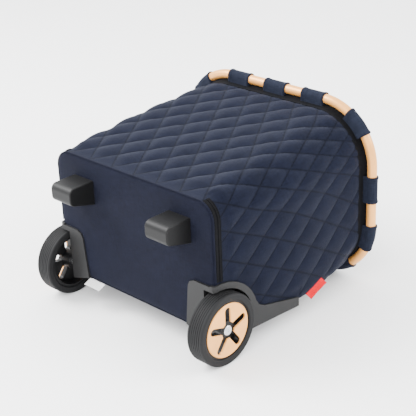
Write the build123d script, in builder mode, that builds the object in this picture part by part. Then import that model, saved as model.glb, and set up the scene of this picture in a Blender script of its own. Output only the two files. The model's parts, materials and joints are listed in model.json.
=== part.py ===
from build123d import *
import math
import os

os.makedirs("parts", exist_ok=True)

# Shopping trolley lying on its back: X runs from the base to the mouth, Y is the width,
# Z is up (the front of the trolley looks up). Millimetres, floor at Z = 0.

# overall
overall_height = 475.0
base_x = -188.0

# bag, a tapered box with rounded edges
base_width = 343.0
base_rear_z = 45.6
base_depth = 211.8
base_corner = 28.0
swell_at = 170.0
swell_width = 374.0
swell_rear_z = 30.0
swell_corner = 20.0
ring_x = base_x + 341.0
ring_width = 397.4
ring_depth = 297.0
ring_corner = 98.0
ring_tube_radius = 8.0
ring_tube_wall = 1.5
loop_thick = 1.5
loop_gap = 0.3
ring_rear_z = ring_tube_radius + loop_gap + loop_thick
ring_mid_z = ring_rear_z + ring_depth / 2
mouth_inset = 11.7
mouth_x = ring_x - 11.0
mouth_width = ring_width - 2 * mouth_inset
mouth_depth = ring_depth - 2 * mouth_inset
mouth_corner = ring_corner - mouth_inset
bag_wall = 4.0
cover_thick = 3.4
board_thick = 4.5
binding_width = 20.0
binding_thick = 1.3
skin_gap = 0.2

# wheels
wheel_radius = 57.7
wheel_x = base_x + 8.2
grip_top_x = wheel_x - wheel_radius + overall_height
wheel_inner_y = 159.0
wheel_width = 30.2
wheel_outer_y = wheel_inner_y + wheel_width
tyre_depth = 11.7
tyre_bore = wheel_radius - tyre_depth
disc_radius = tyre_bore - 2.7
disc_thick = 2.4
core_inset = 3.0
arm_width = 11.5
arm_reach = disc_radius - 10.8
hub_radius = 14.5
pin_radius = 5.0
bush_radius = 8.0
running_fit = 0.05

# wheel housings
well_radius = wheel_radius + 4.3
housing_wall = 3.0
arch_radius = well_radius + 10.0
well_wall_y = 153.0
plate_inner_y = 115.0
plate_top_z = 127.0
plate_thick = 4.0
arm_tip_x = base_x + 168.0
arm_low_z = 31.0
boss_radius = 12.0
boss_inner_y = 138.0

# feet
foot_inner_y = 83.5
foot_outer_y = 129.4
foot_rear_z = 185.0
foot_front_z = 226.0
foot_tip_x = wheel_x - wheel_radius
foot_tip_depth = 28.0
foot_round = 10.0
foot_screw_radius = 2.4
foot_screw_z = 205.0
foot_mid_y = (foot_inner_y + foot_outer_y) / 2

# telescopic handle
handle_y = 75.0
handle_z = 64.0
outer_tube_radius = 10.0
tube_wall = 1.2
slide_gap = 0.3
outer_tube_bore = outer_tube_radius - tube_wall
mid_tube_radius = outer_tube_bore - slide_gap
mid_tube_bore = mid_tube_radius - tube_wall
inner_tube_radius = mid_tube_bore - slide_gap
inner_tube_bore = inner_tube_radius - tube_wall
outer_tube_x0 = base_x + 13.0
bracket_x0 = ring_x - 10.4
bracket_x1 = ring_x + 16.0
mid_tube_x0 = base_x + 20.0
yoke_x0 = bracket_x1 + 0.5
yoke_x1 = yoke_x0 + 12.0
inner_tube_x0 = base_x + 28.0
grip_x0 = grip_top_x - 30.5
grip_half = 88.0
grip_depth = 28.0
button_length = 34.0
button_depth = 12.0
button_travel = 4.0

# small fabric pieces
tag_length = 39.0
tag_height = 15.0
tag_thick = 1.2
tag_x = base_x + 213.0
tag_y = -187.8
tag_z = 41.4
tag_slope = 0.416
label_length = 36.0
label_reach = 15.0


# the bag is described at three stations: base, swell and mouth edge
stations = [base_x, base_x + swell_at, mouth_x]
top_at_base = base_rear_z + base_depth
top_at_mouth = ring_rear_z + mouth_inset + mouth_depth
top_slope = (top_at_mouth - top_at_base) / (mouth_x - base_x)
widths = [base_width, swell_width, mouth_width]
lows = [base_rear_z, swell_rear_z, ring_rear_z + mouth_inset]
rear_corners = [base_corner, swell_corner, mouth_corner]


def between(x, values):
    """Value at x, straight between the stations."""
    k = 0 if x < stations[1] else 1
    t = (x - stations[k]) / (stations[k + 1] - stations[k])
    return values[k] + (values[k + 1] - values[k]) * t


def section(x, grow):
    """Rounded section of the bag at x, grown outwards."""
    low = between(x, lows) - grow
    top = top_at_base + top_slope * (x - base_x) + grow
    front_corner = base_corner + (mouth_corner - base_corner) * (x - base_x) / (mouth_x - base_x)
    with BuildSketch(Plane.YZ.offset(x)) as outline:
        with Locations((0, (low + top) / 2)):
            Rectangle(between(x, widths) + 2 * grow, top - low)
        rows = outline.vertices().group_by(Axis.Y)
        fillet(rows[0], radius=between(x, rear_corners) + grow)
        rows = outline.vertices().group_by(Axis.Y)
        fillet(rows[-1], radius=front_corner + grow)
    return outline.sketch


def taper(x0, x1, grow, mode=Mode.ADD):
    """Bag-shaped block from x0 to x1."""
    cuts = [x0] + [x for x in stations[1:2] if x0 < x < x1] + [x1]
    loft([section(x, grow) for x in cuts], ruled=True, mode=mode)


def wheel_cut(radius, y_from, sign, mode=Mode.SUBTRACT):
    """Cylinder round the wheel axis, from y_from outwards."""
    with BuildSketch(Plane.XZ.offset(-sign * y_from)) as disc:
        with Locations((wheel_x, wheel_radius)):
            Circle(radius)
    extrude(disc.sketch, amount=-sign * 90.0, mode=mode)


def well_cuts(gap):
    """Both wheel wells and axle bosses, cut out with a gap."""
    for sign in (1, -1):
        wheel_cut(well_radius + housing_wall + gap, well_wall_y - housing_wall - gap, sign)
        wheel_cut(boss_radius + gap, boss_inner_y - gap, sign)


def rods_along_x(radius, x0, x1, spots, mode=Mode.ADD):
    """Round rods or holes along X."""
    with BuildSketch(Plane.YZ.offset(x0)) as ends:
        with Locations(*spots):
            Circle(radius)
    extrude(ends.sketch, amount=x1 - x0, mode=mode)


foot_screw_spots = [
    (sign * (foot_mid_y + shift), foot_screw_z) for sign in (1, -1) for shift in (-12.0, 12.0)
]
housing_screw_spots = [(sign * 127.0, z) for sign in (1, -1) for z in (82.0, 112.0)]
handle_spots = [(handle_y, handle_z), (-handle_y, handle_z)]

# ---------------------------------------------------------------- bag
with BuildPart() as bag_shell:
    taper(base_x + cover_thick + 0.1, mouth_x, 0.0)
    taper(base_x + cover_thick, mouth_x + 0.5, -bag_wall, Mode.SUBTRACT)
    well_cuts(0.3)
bag_shell.part.label = "bag_shell"
export_step(bag_shell.part, "parts/bag_shell.step")

with BuildPart() as base_cover:
    extrude(section(base_x, 0.0), amount=cover_thick)
    well_cuts(0.3)
    rods_along_x(foot_screw_radius + 0.1, base_x - 1, base_x + 10, foot_screw_spots, Mode.SUBTRACT)
    rods_along_x(foot_screw_radius + 0.1, base_x - 1, base_x + 10, housing_screw_spots, Mode.SUBTRACT)
base_cover.part.label = "base_cover"
export_step(base_cover.part, "parts/base_cover.step")

with BuildPart() as base_board:
    extrude(section(base_x + cover_thick + 0.3, -bag_wall - 0.6), amount=board_thick)
    well_cuts(0.3)
    rods_along_x(foot_screw_radius + 0.1, base_x, base_x + 12, foot_screw_spots, Mode.SUBTRACT)
    rods_along_x(foot_screw_radius + 0.1, base_x, base_x + 12, housing_screw_spots, Mode.SUBTRACT)
base_board.part.label = "base_board"
export_step(base_board.part, "parts/base_board.step")
board_top_x = base_x + cover_thick + 0.3 + board_thick

with BuildPart() as edge_binding:
    taper(base_x + 0.3, base_x + binding_width, skin_gap + binding_thick)
    taper(base_x, base_x + binding_width + 0.5, skin_gap, Mode.SUBTRACT)
    for sign in (1, -1):
        with BuildSketch(Plane.YZ.offset(base_x - 10)):
            with Locations((sign * 200.0, 30.0)):
                Rectangle(2 * (200.0 - plate_inner_y + 1.0), 2 * (plate_top_z - 30.0 + 5.0))
        extrude(amount=60, mode=Mode.SUBTRACT)
edge_binding.part.label = "edge_binding"
export_step(edge_binding.part, "parts/edge_binding.step")

# ---------------------------------------------------------------- mouth frame
half_w = ring_width / 2
half_d = ring_depth / 2
corner_y = half_w - ring_corner
corner_top = ring_mid_z + half_d - ring_corner
corner_low = ring_mid_z - half_d + ring_corner


def ring_bar(radius, mode=Mode.ADD):
    """Round bar all the way along the centre line of the mouth frame."""
    for z in (ring_mid_z - half_d, ring_mid_z + half_d):
        with BuildSketch(Plane.XZ.offset(-corner_y)) as cross:
            with Locations((ring_x, z)):
                Circle(radius)
        extrude(cross.sketch, amount=2 * corner_y, mode=mode)
    for y in (-half_w, half_w):
        with BuildSketch(Plane.XY.offset(corner_low)) as upright:
            with Locations((ring_x, y)):
                Circle(radius)
        extrude(upright.sketch, amount=corner_top - corner_low, mode=mode)
    for y, z, turn in (
        (corner_y, corner_top, 0.0),
        (-corner_y, corner_top, 90.0),
        (-corner_y, corner_low, 180.0),
        (corner_y, corner_low, 270.0),
    ):
        angle = math.radians(turn)
        out = (0, math.cos(angle), math.sin(angle))
        along = (0, math.sin(angle), -math.cos(angle))
        start = (ring_x, y + ring_corner * math.cos(angle), z + ring_corner * math.sin(angle))
        with BuildSketch(Plane(origin=start, x_dir=out, z_dir=along)) as bend:
            Circle(radius)
        revolve(bend.sketch, axis=Axis((ring_x, y, z), (1, 0, 0)), revolution_arc=90, mode=mode)


with BuildPart() as mouth_frame:
    ring_bar(ring_tube_radius)
    ring_bar(ring_tube_radius - ring_tube_wall, Mode.SUBTRACT)
    with Locations((ring_x, 0, ring_rear_z)):
        Box(40, 1.5, 40, mode=Mode.SUBTRACT)
mouth_frame.part.label = "mouth_frame"
export_step(mouth_frame.part, "parts/mouth_frame.step")

with BuildPart() as frame_joint_plug:
    with BuildSketch(Plane.XZ.offset(-25)):
        with Locations((ring_x, ring_rear_z)):
            Circle(ring_tube_radius - ring_tube_wall - 0.1)
            Circle(4.0, mode=Mode.SUBTRACT)
    extrude(amount=50)
frame_joint_plug.part.label = "frame_joint_plug"
export_step(frame_joint_plug.part, "parts/frame_joint_plug.step")

loop_outer = ring_tube_radius + loop_gap + loop_thick
loop_inner = ring_tube_radius + loop_gap
loop_length = 45.0
loop_pitch = 81.0
side_loop_z = 173.0
tail_x = mouth_x + 0.4 - ring_x
tail_out = -mouth_inset
tail_in = -mouth_inset - bag_wall


def loop_profile(origin, angle):
    """Closed band round the tube with a sewn tail towards the bag edge."""
    out = (0, math.cos(angle), math.sin(angle))
    along = (0, math.sin(angle), -math.cos(angle))
    with BuildSketch(Plane(origin=origin, x_dir=out, z_dir=along)) as band:
        Circle(loop_outer)
        with BuildLine():
            Polyline(
                (tail_in, tail_x),
                (tail_out, tail_x),
                (0, -loop_outer),
                (0, 0),
                (-loop_outer + 0.1, 1.5),
                (tail_in, tail_x),
            )
        make_face()
        Circle(loop_inner, mode=Mode.SUBTRACT)
    return band.sketch


# straight loops: position across and outward angle
straight_loops = [
    ((ring_x, 0.0, ring_mid_z + half_d), math.pi / 2),
    ((ring_x, loop_pitch, ring_mid_z + half_d), math.pi / 2),
    ((ring_x, -loop_pitch, ring_mid_z + half_d), math.pi / 2),
    ((ring_x, half_w, side_loop_z), 0.0),
    ((ring_x, -half_w, side_loop_z), math.pi),
    ((ring_x, 0.0, ring_rear_z), -math.pi / 2),
]
# loops on the corners: corner centre and mid angle in degrees
corner_loops = [
    (corner_y, corner_top, 46.0),
    (-corner_y, corner_top, 134.0),
    (corner_y, corner_low, -12.5),
    (-corner_y, corner_low, 192.5),
    (corner_y, corner_low, -64.5),
    (-corner_y, corner_low, 244.5),
]
loop_turn = math.degrees(loop_length / ring_corner)
with BuildPart() as frame_loops:
    for spot, angle in straight_loops:
        extrude(loop_profile(spot, angle), amount=loop_length / 2, both=True)
    for cy, cz, mid_angle in corner_loops:
        start = math.radians(mid_angle - loop_turn / 2)
        spot = (ring_x, cy + ring_corner * math.cos(start), cz + ring_corner * math.sin(start))
        turn_axis = Axis((ring_x, cy, cz), (1, 0, 0))
        revolve(loop_profile(spot, start), axis=turn_axis, revolution_arc=loop_turn)
frame_loops.part.label = "frame_loops"
export_step(frame_loops.part, "parts/frame_loops.step")

# ---------------------------------------------------------------- wheel housings
with BuildPart() as wheel_housing_left:
    # flat plate along the side of the bag with a round arch and a tapered arm
    side_y = base_width / 2 + skin_gap
    side_slope = (swell_width - base_width) / 2 / swell_at
    with BuildSketch(Plane.XY.offset(arm_low_z)):
        with BuildLine():
            Polyline(
                (base_x - plate_thick, plate_inner_y - 2),
                (base_x - plate_thick, side_y + housing_wall),
                (arm_tip_x, side_y + housing_wall + side_slope * (arm_tip_x - base_x)),
                (arm_tip_x, side_y + side_slope * (arm_tip_x - base_x)),
                (base_x - skin_gap, side_y),
                (base_x - skin_gap, plate_inner_y - 2),
                (base_x - plate_thick, plate_inner_y - 2),
            )
        make_face()
    extrude(amount=plate_top_z + 20 - arm_low_z)
    fillet(
        wheel_housing_left.edges().filter_by(Axis.Z).group_by(Axis.X)[0].sort_by(Axis.Y)[-1],
        radius=plate_thick + 2,
    )
    # outline seen from the side
    with BuildSketch(Plane.XZ.offset(-plate_inner_y + 10)):
        with Locations((wheel_x, wheel_radius)):
            Circle(arch_radius)
        with BuildLine():
            Polyline(
                (base_x - 20, arm_low_z),
                (arm_tip_x, arm_low_z),
                (arm_tip_x, base_rear_z),
                (base_x + 96, base_rear_z + 15),
                (base_x + 84, base_rear_z + 21),
                (base_x + 76, base_rear_z + 34),
                (wheel_x, wheel_radius + 20),
                (wheel_x, plate_top_z),
                (base_x - 20, plate_top_z),
                (base_x - 20, arm_low_z),
            )
        make_face()
    extrude(amount=-100, mode=Mode.INTERSECT)
    # outline seen from the base
    with BuildSketch(Plane.YZ.offset(base_x - 20)):
        with BuildLine():
            Polyline(
                (plate_inner_y - 2, base_rear_z),
                (plate_inner_y + 5, plate_top_z - 12),
                (plate_inner_y + 9, plate_top_z - 4),
                (plate_inner_y + 18, plate_top_z),
                (side_y - 6, plate_top_z),
                (side_y - 6, plate_top_z + 40),
                (side_y + 40, plate_top_z + 40),
                (side_y + 40, arm_low_z),
                (side_y - 12, arm_low_z),
                (plate_inner_y - 2, base_rear_z),
            )
        make_face()
    extrude(amount=300, mode=Mode.INTERSECT)
    # round well for the wheel, open at the side, the base and the rear
    with BuildPart(mode=Mode.PRIVATE) as well_drum:
        with BuildSketch(Plane.XZ.offset(-(well_wall_y - housing_wall))):
            with Locations((wheel_x, wheel_radius)):
                Circle(well_radius + housing_wall)
        extrude(amount=-(side_y + 1 - well_wall_y + housing_wall))
        with BuildSketch(Plane.YZ.offset(base_x - plate_thick)):
            with Locations((150, base_rear_z + 100)):
                Rectangle(200, 200)
        extrude(amount=300, mode=Mode.INTERSECT)
    add(well_drum.part)
    with BuildSketch(Plane.XZ.offset(-boss_inner_y)):
        with Locations((wheel_x, wheel_radius)):
            Circle(boss_radius)
    extrude(amount=-(well_wall_y - boss_inner_y))
    with BuildSketch(Plane.XZ.offset(-boss_inner_y - 0.5)):
        with Locations((wheel_x, wheel_radius)):
            Circle(pin_radius + 0.05)
    extrude(amount=-40, mode=Mode.SUBTRACT)
    wheel_cut(well_radius, well_wall_y, 1)
    rods_along_x(foot_screw_radius + 0.1, base_x - 2.6, base_x + 2, housing_screw_spots, Mode.SUBTRACT)
wheel_housing_left.part.label = "wheel_housing_left"
export_step(wheel_housing_left.part, "parts/wheel_housing_left.step")

with BuildPart() as wheel_housing_right:
    add(wheel_housing_left.part)
    mirror(about=Plane.XZ, mode=Mode.REPLACE)
wheel_housing_right.part.label = "wheel_housing_right"
export_step(wheel_housing_right.part, "parts/wheel_housing_right.step")

with BuildPart() as housing_screws:
    rods_along_x(foot_screw_radius, base_x - 2.4, board_top_x + 0.1, housing_screw_spots)
    rods_along_x(4.2, board_top_x + 0.1, board_top_x + 2.6, housing_screw_spots)
housing_screws.part.label = "housing_screws"
export_step(housing_screws.part, "parts/housing_screws.step")

# ---------------------------------------------------------------- feet
with BuildPart() as foot_left:
    with BuildSketch(Plane.XZ.offset(-foot_inner_y)):
        with BuildLine() as foot_line:
            Polyline(
                (base_x - 0.2, foot_rear_z),
                (base_x - 0.2, foot_front_z),
                (foot_tip_x, foot_front_z),
                (foot_tip_x, foot_front_z - foot_tip_depth),
                (base_x - 0.2, foot_rear_z),
            )
        make_face()
    extrude(amount=-(foot_outer_y - foot_inner_y))
    fillet(foot_left.edges().filter_by(Axis.Y).group_by(Axis.X)[0], radius=foot_round)
    fillet(foot_left.faces().group_by(Axis.X)[0].edges().filter_by(Axis.Z), radius=2)
    rods_along_x(foot_screw_radius + 0.1, base_x - 22, base_x + 2, foot_screw_spots[:2], Mode.SUBTRACT)
foot_left.part.label = "foot_left"
export_step(foot_left.part, "parts/foot_left.step")

with BuildPart() as foot_right:
    add(foot_left.part)
    mirror(about=Plane.XZ, mode=Mode.REPLACE)
foot_right.part.label = "foot_right"
export_step(foot_right.part, "parts/foot_right.step")

with BuildPart() as foot_screws:
    rods_along_x(foot_screw_radius, base_x - 21, board_top_x + 0.1, foot_screw_spots)
    rods_along_x(4.2, board_top_x + 0.1, board_top_x + 2.6, foot_screw_spots)
foot_screws.part.label = "foot_screws"
export_step(foot_screws.part, "parts/foot_screws.step")

# ---------------------------------------------------------------- wheel, left
groove_shift = [-9.5, -5.7, -1.9, 1.9, 5.7, 9.5]
tyre_mid_y = wheel_inner_y + wheel_width / 2
with BuildPart() as tyre_left:
    with BuildSketch(Plane.YZ.offset(wheel_x)):
        with Locations((tyre_mid_y, wheel_radius + (wheel_radius + tyre_bore) / 2)):
            RectangleRounded(wheel_width, wheel_radius - tyre_bore, 3.0)
        for shift in groove_shift:
            with Locations((tyre_mid_y + shift, 2 * wheel_radius)):
                Rectangle(1.0, 1.8, mode=Mode.SUBTRACT)
    revolve(axis=Axis((wheel_x, 0, wheel_radius), (0, 1, 0)))
tyre_left.part.label = "tyre_left"
export_step(tyre_left.part, "parts/tyre_left.step")

core_y0 = wheel_inner_y + core_inset
core_y1 = wheel_outer_y - core_inset
with BuildPart() as wheel_core_left:
    # rim, thin web and hub turned together
    with BuildSketch(Plane.YZ.offset(wheel_x)):
        with BuildLine():
            Polyline(
                (core_y0, wheel_radius + bush_radius + 0.05),
                (core_y1 - 1.0, wheel_radius + bush_radius + 0.05),
                (core_y1 - 1.0, wheel_radius + hub_radius),
                (core_y1, wheel_radius + hub_radius),
                (core_y1, wheel_radius + tyre_bore - 0.1),
                (core_y0, wheel_radius + tyre_bore - 0.1),
                (core_y0, wheel_radius + tyre_bore - 4.0),
                (core_y1 - 9.0, wheel_radius + tyre_bore - 6.0),
                (core_y1 - 9.0, wheel_radius + hub_radius + 1.0),
                (core_y0, wheel_radius + hub_radius),
                (core_y0, wheel_radius + bush_radius + 0.05),
            )
        make_face()
    revolve(axis=Axis((wheel_x, 0, wheel_radius), (0, 1, 0)))
    with BuildSketch(Plane.XZ.offset(-core_y0)):
        with Locations((wheel_x, wheel_radius)):
            with PolarLocations((hub_radius + arm_reach + arm_width / 2) / 2, 5, start_angle=90):
                SlotOverall(arm_reach + arm_width / 2 - hub_radius, arm_width)
    extrude(amount=-wheel_width, mode=Mode.SUBTRACT)
wheel_core_left.part.label = "wheel_core_left"
export_step(wheel_core_left.part, "parts/wheel_core_left.step")

with BuildPart() as hub_disc_left:
    with BuildSketch(Plane.XZ.offset(-core_y1 - 0.1)):
        with Locations((wheel_x, wheel_radius)):
            Circle(disc_radius)
            Circle(hub_radius - 1.0, mode=Mode.SUBTRACT)
            with PolarLocations(arm_reach / 2 + arm_width / 4, 5, start_angle=90):
                SlotOverall(arm_reach + arm_width / 2, arm_width, mode=Mode.SUBTRACT)
    extrude(amount=-disc_thick)
    rim_edges = hub_disc_left.edges().filter_by(GeomType.CIRCLE).group_by(SortBy.RADIUS)[-1]
    chamfer(rim_edges.sort_by(Axis.Y)[-1], length=1.2)
hub_disc_left.part.label = "hub_disc_left"
export_step(hub_disc_left.part, "parts/hub_disc_left.step")

with BuildPart() as wheel_bush_left:
    with BuildSketch(Plane.XZ.offset(-core_y0)):
        with Locations((wheel_x, wheel_radius)):
            Circle(bush_radius)
            Circle(pin_radius + running_fit, mode=Mode.SUBTRACT)
    extrude(amount=-(core_y1 - 1.0 - core_y0))
wheel_bush_left.part.label = "wheel_bush_left"
export_step(wheel_bush_left.part, "parts/wheel_bush_left.step")

with BuildPart() as axle_pin_left:
    # shaft with a spacer collar inside the wheel and a flat drilled cap outside
    with BuildSketch(Plane.XZ.offset(-boss_inner_y - 1.0)):
        with Locations((wheel_x, wheel_radius)):
            Circle(pin_radius)
    extrude(amount=-(core_y1 - 0.5 - boss_inner_y - 1.0))
    with BuildSketch(Plane.XZ.offset(-well_wall_y - 0.2)):
        with Locations((wheel_x, wheel_radius)):
            Circle(8.0)
    extrude(amount=-(core_y0 - 0.4 - well_wall_y))
    with BuildSketch(Plane.XZ.offset(-core_y1 + 0.6)):
        with Locations((wheel_x, wheel_radius)):
            Circle(7.8)
    extrude(amount=-3.0)
    with BuildSketch(Plane.XZ.offset(-core_y1 - 2.4)):
        with Locations((wheel_x, wheel_radius)):
            Circle(2.2)
    extrude(amount=1.8, mode=Mode.SUBTRACT)
    chamfer(axle_pin_left.faces().sort_by(Axis.Y)[-1].outer_wire().edges(), length=0.8)
axle_pin_left.part.label = "axle_pin_left"
export_step(axle_pin_left.part, "parts/axle_pin_left.step")

# ---------------------------------------------------------------- wheel, right
with BuildPart() as tyre_right:
    add(tyre_left.part)
    mirror(about=Plane.XZ, mode=Mode.REPLACE)
tyre_right.part.label = "tyre_right"
export_step(tyre_right.part, "parts/tyre_right.step")

with BuildPart() as wheel_core_right:
    add(wheel_core_left.part)
    mirror(about=Plane.XZ, mode=Mode.REPLACE)
wheel_core_right.part.label = "wheel_core_right"
export_step(wheel_core_right.part, "parts/wheel_core_right.step")

with BuildPart() as hub_disc_right:
    add(hub_disc_left.part)
    mirror(about=Plane.XZ, mode=Mode.REPLACE)
hub_disc_right.part.label = "hub_disc_right"
export_step(hub_disc_right.part, "parts/hub_disc_right.step")

with BuildPart() as wheel_bush_right:
    add(wheel_bush_left.part)
    mirror(about=Plane.XZ, mode=Mode.REPLACE)
wheel_bush_right.part.label = "wheel_bush_right"
export_step(wheel_bush_right.part, "parts/wheel_bush_right.step")

with BuildPart() as axle_pin_right:
    add(axle_pin_left.part)
    mirror(about=Plane.XZ, mode=Mode.REPLACE)
axle_pin_right.part.label = "axle_pin_right"
export_step(axle_pin_right.part, "parts/axle_pin_right.step")

# ---------------------------------------------------------------- telescopic handle
with BuildPart() as handle_foot:
    with BuildSketch(Plane.YZ.offset(board_top_x + 0.2)):
        with Locations((0, handle_z)):
            RectangleRounded(2 * handle_y + 36, 26, 6)
    extrude(amount=22)
    rods_along_x(outer_tube_radius + 0.05, outer_tube_x0 - 0.2, base_x + 40, handle_spots, Mode.SUBTRACT)
    fillet(handle_foot.faces().sort_by(Axis.X)[-1].outer_wire().edges(), radius=1.5)
handle_foot.part.label = "handle_foot"
export_step(handle_foot.part, "parts/handle_foot.step")

with BuildPart() as upper_bracket:
    # block across the back that clips on the rear of the mouth frame
    with BuildSketch(Plane.YZ.offset(bracket_x0)):
        with Locations((0, handle_z)):
            RectangleRounded(2 * handle_y + 40, 30, 8)
        for sign in (1, -1):
            with Locations((sign * handle_y, (handle_z + ring_rear_z) / 2)):
                Rectangle(34, handle_z - ring_rear_z)
    extrude(amount=bracket_x1 - bracket_x0)
    fillet(upper_bracket.faces().sort_by(Axis.X)[-1].outer_wire().edges(), radius=1.5)
    with BuildSketch(Plane.XZ.offset(120)):
        with Locations((ring_x, ring_rear_z)):
            Circle(ring_tube_radius + 0.1)
    extrude(amount=-240, mode=Mode.SUBTRACT)
    rods_along_x(outer_tube_radius + 0.05, bracket_x0 - 1, bracket_x1 - 2, handle_spots, Mode.SUBTRACT)
    rods_along_x(mid_tube_radius + slide_gap, bracket_x0 - 1, bracket_x1 + 1, handle_spots, Mode.SUBTRACT)
upper_bracket.part.label = "upper_bracket"
export_step(upper_bracket.part, "parts/upper_bracket.step")


def handle_tube(side, radius, bore, x0, x1):
    """One straight tube of the handle."""
    with BuildSketch(Plane.YZ.offset(x0)) as ring_face:
        with Locations((side * handle_y, handle_z)):
            Circle(radius)
            Circle(bore, mode=Mode.SUBTRACT)
    extrude(ring_face.sketch, amount=x1 - x0)


with BuildPart() as outer_tube_left:
    handle_tube(1, outer_tube_radius, outer_tube_bore, outer_tube_x0, bracket_x1 - 2.1)
outer_tube_left.part.label = "outer_tube_left"
export_step(outer_tube_left.part, "parts/outer_tube_left.step")

with BuildPart() as outer_tube_right:
    handle_tube(-1, outer_tube_radius, outer_tube_bore, outer_tube_x0, bracket_x1 - 2.1)
outer_tube_right.part.label = "outer_tube_right"
export_step(outer_tube_right.part, "parts/outer_tube_right.step")

with BuildPart() as mid_tube_left:
    handle_tube(1, mid_tube_radius, mid_tube_bore, mid_tube_x0, yoke_x1 - 2.1)
mid_tube_left.part.label = "mid_tube_left"
export_step(mid_tube_left.part, "parts/mid_tube_left.step")

with BuildPart() as mid_tube_right:
    handle_tube(-1, mid_tube_radius, mid_tube_bore, mid_tube_x0, yoke_x1 - 2.1)
mid_tube_right.part.label = "mid_tube_right"
export_step(mid_tube_right.part, "parts/mid_tube_right.step")

with BuildPart() as mid_yoke:
    with BuildSketch(Plane.YZ.offset(yoke_x0)):
        with Locations((0, handle_z)):
            RectangleRounded(2 * handle_y + 28, 24, 11.5)
    extrude(amount=yoke_x1 - yoke_x0)
    fillet(mid_yoke.faces().sort_by(Axis.X)[-1].outer_wire().edges(), radius=2)
    rods_along_x(mid_tube_radius + 0.05, yoke_x0 - 1, yoke_x1 - 2, handle_spots, Mode.SUBTRACT)
    rods_along_x(inner_tube_radius + slide_gap, yoke_x0 - 1, yoke_x1 + 1, handle_spots, Mode.SUBTRACT)
mid_yoke.part.label = "mid_yoke"
export_step(mid_yoke.part, "parts/mid_yoke.step")

with BuildPart() as inner_tube_left:
    handle_tube(1, inner_tube_radius, inner_tube_bore, inner_tube_x0, grip_x0 + 18)
inner_tube_left.part.label = "inner_tube_left"
export_step(inner_tube_left.part, "parts/inner_tube_left.step")

with BuildPart() as inner_tube_right:
    handle_tube(-1, inner_tube_radius, inner_tube_bore, inner_tube_x0, grip_x0 + 18)
inner_tube_right.part.label = "inner_tube_right"
export_step(inner_tube_right.part, "parts/inner_tube_right.step")

with BuildPart() as grip:
    with BuildSketch(Plane.YZ.offset(grip_x0)):
        with Locations((0, handle_z)):
            RectangleRounded(2 * grip_half, grip_depth, grip_depth / 2 - 0.5)
    extrude(amount=grip_top_x - grip_x0)
    fillet(grip.faces().sort_by(Axis.X)[-1].outer_wire().edges(), radius=9)
    fillet(grip.faces().sort_by(Axis.X)[0].outer_wire().edges(), radius=7)
    rods_along_x(inner_tube_radius + 0.05, grip_x0 - 1, grip_x0 + 18.2, handle_spots, Mode.SUBTRACT)
    with BuildSketch(Plane.YZ.offset(grip_top_x - button_travel - 7.0)):
        with Locations((0, handle_z)):
            RectangleRounded(button_length + 0.8, button_depth + 0.8, button_depth / 2 - 0.2)
    extrude(amount=40, mode=Mode.SUBTRACT)
grip.part.label = "grip"
export_step(grip.part, "parts/grip.step")

with BuildPart() as release_button:
    with BuildSketch(Plane.YZ.offset(grip_top_x - 6.5)):
        with Locations((0, handle_z)):
            RectangleRounded(button_length, button_depth, button_depth / 2 - 0.6)
    extrude(amount=6.5)
    fillet(release_button.faces().sort_by(Axis.X)[-1].outer_wire().edges(), radius=1.2)
release_button.part.label = "release_button"
export_step(release_button.part, "parts/release_button.step")

with BuildPart() as handle_sleeve:
    # fabric cover that keeps the goods off the tubes
    sleeve_x0 = board_top_x + 24.0
    with BuildSketch(Plane.YZ.offset(sleeve_x0)):
        with BuildLine():
            Polyline(
                (-handle_y - 28, handle_z - 11),
                (-handle_y - 18, handle_z + 17),
                (handle_y + 18, handle_z + 17),
                (handle_y + 28, handle_z - 11),
            )
            offset(amount=1.5, side=Side.RIGHT)
        make_face()
    extrude(amount=bracket_x0 - 3 - sleeve_x0)
handle_sleeve.part.label = "handle_sleeve"
export_step(handle_sleeve.part, "parts/handle_sleeve.step")

# ---------------------------------------------------------------- small fabric pieces
with BuildPart() as side_tag:
    with BuildSketch(Plane(origin=(tag_x, tag_y, tag_z), x_dir=(1, 0, tag_slope), z_dir=(0, -1, 0))):
        Rectangle(tag_length, tag_height)
    extrude(amount=tag_thick)
side_tag.part.label = "side_tag"
export_step(side_tag.part, "parts/side_tag.step")

with BuildPart() as care_label:
    with BuildSketch(Plane.XZ.offset(-76)):
        with BuildLine():
            Polyline(
                (base_x - 0.4, base_rear_z + 3),
                (base_x - 1.4, base_rear_z + 3),
                (base_x - 1.4, base_rear_z),
                (base_x - label_reach, base_rear_z - 6),
                (base_x - label_reach + 0.4, base_rear_z - 7),
                (base_x - 0.4, base_rear_z - 1),
                (base_x - 0.4, base_rear_z + 3),
            )
        make_face()
    extrude(amount=-label_length)
care_label.part.label = "care_label"
export_step(care_label.part, "parts/care_label.step")
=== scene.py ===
"""Shopping trolley lying on its back: a quilted bag on wheels with a tubular mouth frame."""

import json
import math

import bpy
from mathutils import Matrix, Vector


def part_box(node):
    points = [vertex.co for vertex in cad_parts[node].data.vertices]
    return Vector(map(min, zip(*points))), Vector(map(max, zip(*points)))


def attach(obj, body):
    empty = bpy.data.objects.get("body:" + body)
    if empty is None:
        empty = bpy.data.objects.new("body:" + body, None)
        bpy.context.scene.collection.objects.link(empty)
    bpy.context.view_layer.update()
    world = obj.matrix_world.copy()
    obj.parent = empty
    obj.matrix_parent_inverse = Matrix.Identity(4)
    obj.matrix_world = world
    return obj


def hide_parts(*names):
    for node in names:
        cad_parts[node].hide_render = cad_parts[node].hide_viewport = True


bl_info = {
    "name": "Quilted shopping trolley",
    "version": (1, 0, 0),
    "blender": (4, 5, 0),
    "location": "3D View > Sidebar > Trolley",
    "description": "Builds a quilted shopping trolley round its packed frame",
    "category": "Object",
}

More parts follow.
